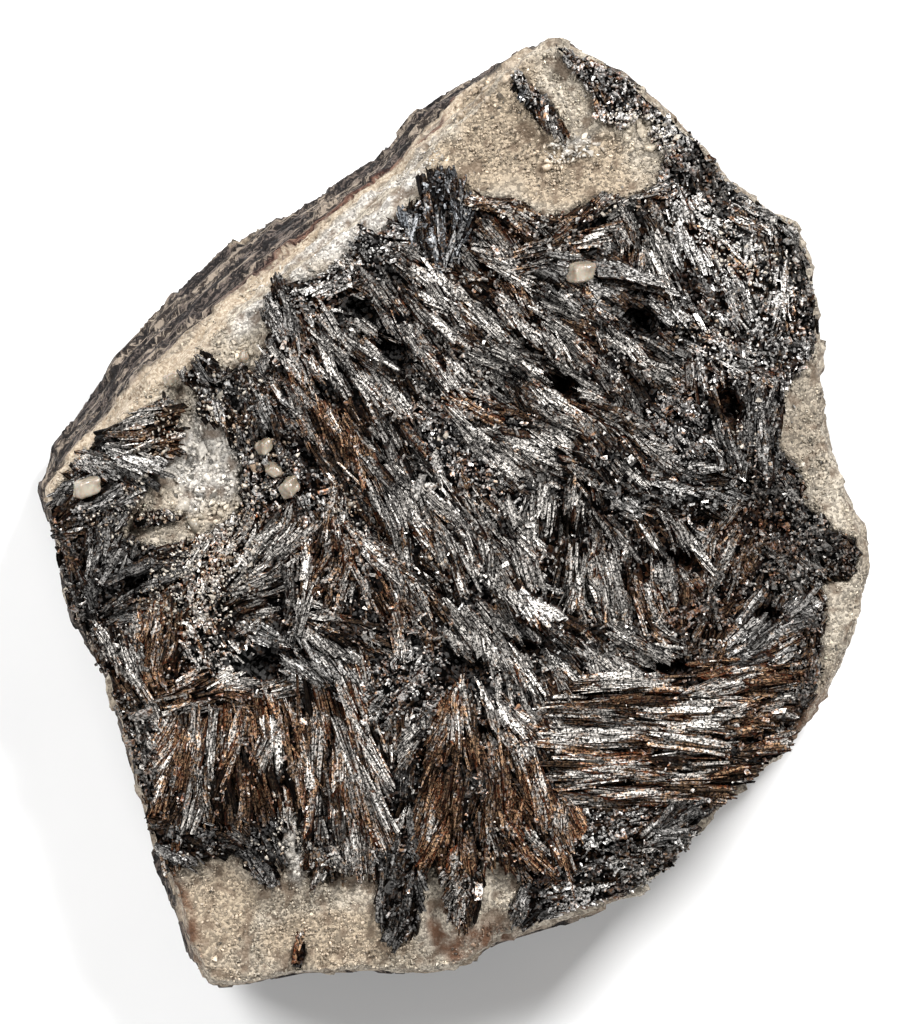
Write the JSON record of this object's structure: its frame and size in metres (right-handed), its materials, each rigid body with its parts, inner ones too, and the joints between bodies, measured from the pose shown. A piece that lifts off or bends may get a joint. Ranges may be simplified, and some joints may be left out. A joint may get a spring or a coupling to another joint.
{
  "type": "betekhtinite mineral specimen",
  "caption": "Hand-sized slab of pale carbonate on dark bedded shale, lying on its back, its face covered by criss-crossing dark grey metallic crystal laths.",
  "frame": {"origin": "middle of the specimen's box, on the surface that it lies on", "axes": "+Z out of the crystal face, +Y along the specimen's length towards its pointed end"},
  "size_m": [0.0552, 0.0632, 0.0164],
  "materials": {
    "rock": "rough, sugary pale carbonate over dark brown-grey bedded shale",
    "betekhtinite": "dark lead-grey metallic blades, rust-brown in places",
    "calcite": "pale, slightly glassy"
  },
  "bodies": {
    "root": {"matrix": "rock", "betekhtinite_crust": "betekhtinite", "betekhtinite_top_tuft": "betekhtinite", "betekhtinite_low_speck": "betekhtinite", "betekhtinite_patch_lath": "betekhtinite", "calcite_west": "calcite", "calcite_centre_upper": "calcite", "calcite_centre_middle": "calcite", "calcite_centre_lower": "calcite", "calcite_north": "calcite", "calcite_rim_upper": "calcite", "calcite_rim_lower": "calcite"}
  },
  "joints": []
}
